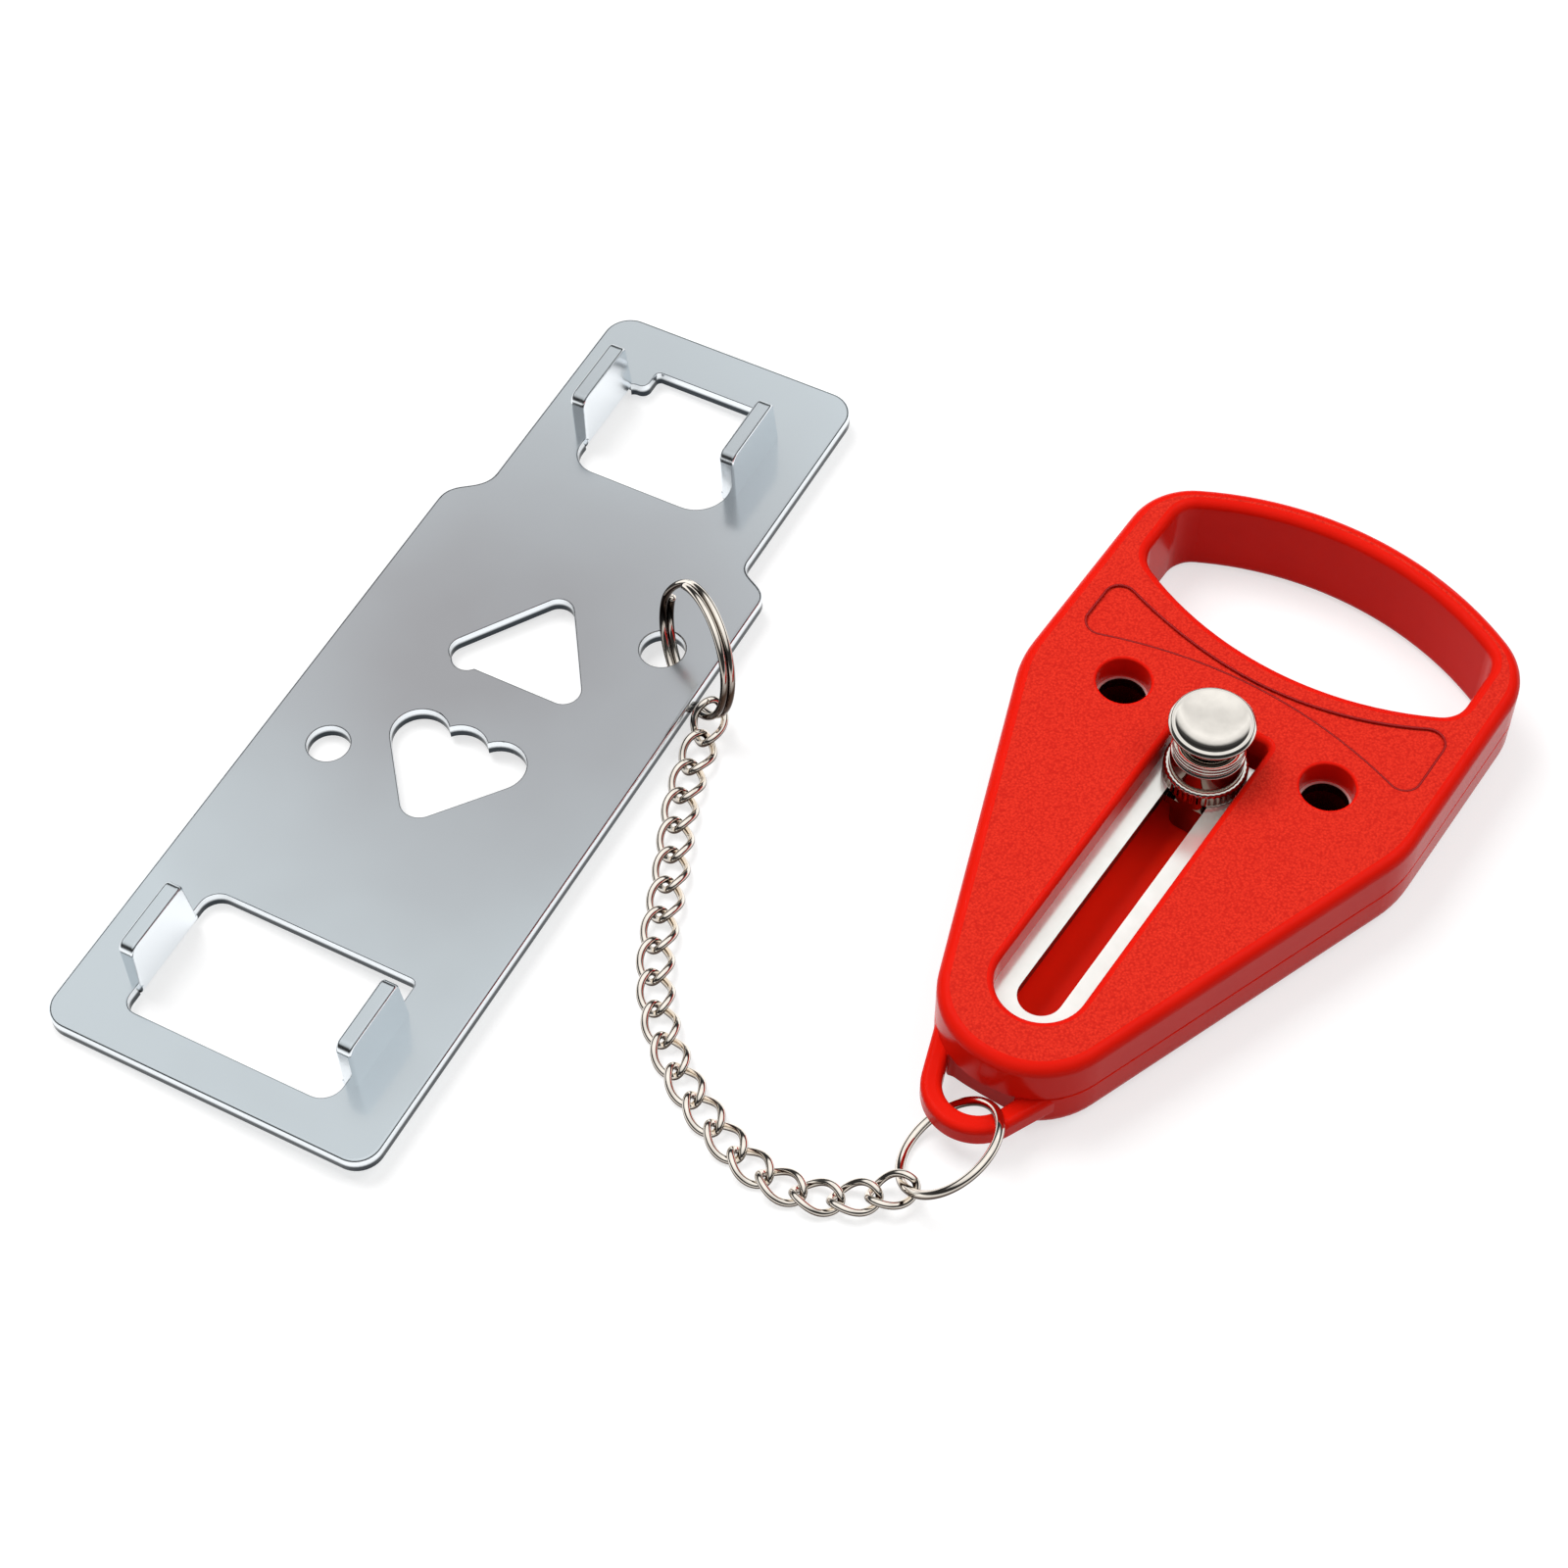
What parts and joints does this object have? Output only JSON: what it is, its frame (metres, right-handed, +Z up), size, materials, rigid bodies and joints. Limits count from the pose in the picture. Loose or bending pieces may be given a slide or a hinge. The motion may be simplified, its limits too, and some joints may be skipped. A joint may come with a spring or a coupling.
{
  "type": "portable door lock",
  "caption": "Portable door lock: a clawed steel plate that hooks a strike plate, chained to a two-shell handle with a sliding clamp knob",
  "frame": {"origin": "On the flat back of the handle, midway between its two round holes, at the height of the table that everything lies on.", "axes": "+Y runs along the handle from its chain lug towards its finger hole, +X to the right seen from above, and +Z up from the table through the handle's thickness."},
  "size_m": [0.1266, 0.1358, 0.0189],
  "materials": {
    "zinc_steel": "bright zinc-plated sheet steel, cool grey with a soft mirror sheen",
    "red_shell": "moulded red plastic, fine leather grain on the flat top and smooth rounded edges",
    "slot_steel": "satin rolled steel strip with fine grain along its length",
    "nickel": "bright nickel-plated turned steel",
    "wire": "nickel-plated steel wire with warm reflections"
  },
  "bodies": {
    "handle": {"handle_top_shell": "red_shell", "handle_bottom_shell": "red_shell", "slot_plate": "slot_steel"},
    "slider": {"slider_block": "nickel", "knob_stud": "nickel"},
    "clamp": {"clamp_barrel": "nickel", "knurled_ring": "nickel"},
    "lug_ring": {"handle_ring": "wire"},
    "link_01": {"chain_link_01": "wire"},
    "link_02": {"chain_link_02": "wire"},
    "link_03": {"chain_link_03": "wire"},
    "link_04": {"chain_link_04": "wire"},
    "link_05": {"chain_link_05": "wire"},
    "link_06": {"chain_link_06": "wire"},
    "link_07": {"chain_link_07": "wire"},
    "link_08": {"chain_link_08": "wire"},
    "link_09": {"chain_link_09": "wire"},
    "link_10": {"chain_link_10": "wire"},
    "link_11": {"chain_link_11": "wire"},
    "link_12": {"chain_link_12": "wire"},
    "link_13": {"chain_link_13": "wire"},
    "link_14": {"chain_link_14": "wire"},
    "link_15": {"chain_link_15": "wire"},
    "link_16": {"chain_link_16": "wire"},
    "link_17": {"chain_link_17": "wire"},
    "link_18": {"chain_link_18": "wire"},
    "link_19": {"chain_link_19": "wire"},
    "link_20": {"chain_link_20": "wire"},
    "key_ring": {"split_ring": "wire"},
    "plate": {"claw_plate": "zinc_steel"}
  },
  "joints": [
    {"name": "slider_slide", "type": "slide", "parent": "handle", "child": "slider", "axis": [0, -1, 0], "range_m": [0, 0.0336]},
    {"name": "clamp_turn", "type": "hinge", "parent": "slider", "child": "clamp", "pos_m": [0, -0.004, 0.012], "axis": [0, 0, 1], "range_deg": [0, 180]},
    {"name": "lug_ring_swing", "type": "hinge", "parent": "handle", "child": "lug_ring", "pos_m": [0, -0.0531, 0.0046], "axis": [0, 0, 1], "range_deg": [-20, 10]},
    {"name": "link_01_swing", "type": "hinge", "parent": "lug_ring", "child": "link_01", "pos_m": [-0.00118, -0.06511, 0.00229], "axis": [0, 0, 1], "range_deg": [-12, 30]},
    {"name": "link_02_swing", "type": "hinge", "parent": "link_01", "child": "link_02", "pos_m": [-0.00357, -0.06759, 0.00165], "axis": [0, 0, -1], "range_deg": [-31, 13]},
    {"name": "link_03_swing", "type": "hinge", "parent": "link_02", "child": "link_03", "pos_m": [-0.00686, -0.07007, 0.00112], "axis": [0, 0, 1], "range_deg": [-7, 37]},
    {"name": "link_04_swing", "type": "hinge", "parent": "link_03", "child": "link_04", "pos_m": [-0.01072, -0.07163, 0.00112], "axis": [0, 0, -1], "range_deg": [-39, 5]},
    {"name": "link_05_swing", "type": "hinge", "parent": "link_04", "child": "link_05", "pos_m": [-0.01486, -0.07199, 0.00112], "axis": [0, 0, 1], "range_deg": [-7, 37]},
    {"name": "link_06_swing", "type": "hinge", "parent": "link_05", "child": "link_06", "pos_m": [-0.01896, -0.07127, 0.00112], "axis": [0, 0, -1], "range_deg": [-31, 13]},
    {"name": "link_07_swing", "type": "hinge", "parent": "link_06", "child": "link_07", "pos_m": [-0.02289, -0.06992, 0.00112], "axis": [0, 0, 1], "range_deg": [-18, 26]},
    {"name": "link_08_swing", "type": "hinge", "parent": "link_07", "child": "link_08", "pos_m": [-0.02672, -0.06829, 0.00112], "axis": [0, 0, -1], "range_deg": [-27, 17]},
    {"name": "link_09_swing", "type": "hinge", "parent": "link_08", "child": "link_09", "pos_m": [-0.0304, -0.06634, 0.00112], "axis": [0, 0, 1], "range_deg": [-14, 30]},
    {"name": "link_10_swing", "type": "hinge", "parent": "link_09", "child": "link_10", "pos_m": [-0.03376, -0.06389, 0.00112], "axis": [0, 0, -1], "range_deg": [-30, 14]},
    {"name": "link_11_swing", "type": "hinge", "parent": "link_10", "child": "link_11", "pos_m": [-0.03676, -0.061, 0.00112], "axis": [0, 0, 1], "range_deg": [-15, 26]},
    {"name": "link_12_swing", "type": "hinge", "parent": "link_11", "child": "link_12", "pos_m": [-0.03937, -0.05777, 0.00112], "axis": [0, 0, -1], "range_deg": [-29, 15]},
    {"name": "link_13_swing", "type": "hinge", "parent": "link_12", "child": "link_13", "pos_m": [-0.04158, -0.05424, 0.00112], "axis": [0, 0, 1], "range_deg": [-16, 28]},
    {"name": "link_14_swing", "type": "hinge", "parent": "link_13", "child": "link_14", "pos_m": [-0.0434, -0.0505, 0.00112], "axis": [0, 0, -1], "range_deg": [-23, 21]},
    {"name": "link_15_swing", "type": "hinge", "parent": "link_14", "child": "link_15", "pos_m": [-0.04516, -0.04673, 0.00112], "axis": [0, 0, 1], "range_deg": [-24, 20]},
    {"name": "link_16_swing", "type": "hinge", "parent": "link_15", "child": "link_16", "pos_m": [-0.04705, -0.04303, 0.00112], "axis": [0, 0, -1], "range_deg": [-20, 24]},
    {"name": "link_17_swing", "type": "hinge", "parent": "link_16", "child": "link_17", "pos_m": [-0.04906, -0.03939, 0.00112], "axis": [0, 0, 1], "range_deg": [-19, 25]},
    {"name": "link_18_swing", "type": "hinge", "parent": "link_17", "child": "link_18", "pos_m": [-0.05089, -0.03565, 0.00112], "axis": [0, 0, -1], "range_deg": [-20, 16]},
    {"name": "link_19_swing", "type": "hinge", "parent": "link_18", "child": "link_19", "pos_m": [-0.05231, -0.03174, 0.00112], "axis": [0, 0, -1], "range_deg": [-14, 17]},
    {"name": "link_20_swing", "type": "hinge", "parent": "link_19", "child": "link_20", "pos_m": [-0.05338, -0.02774, 0.00148], "axis": [0, 0, -1], "range_deg": [-10, 20]},
    {"name": "key_ring_swing", "type": "hinge", "parent": "link_20", "child": "key_ring", "pos_m": [-0.05403, -0.02533, 0.00281], "axis": [0, 0, 1], "range_deg": [-25, 8]},
    {"name": "plate_swing", "type": "hinge", "parent": "key_ring", "child": "plate", "pos_m": [-0.06406, -0.02082, 0.00259], "axis": [0.0434, 0.004, -0.999], "range_deg": [0, 20]}
  ]
}
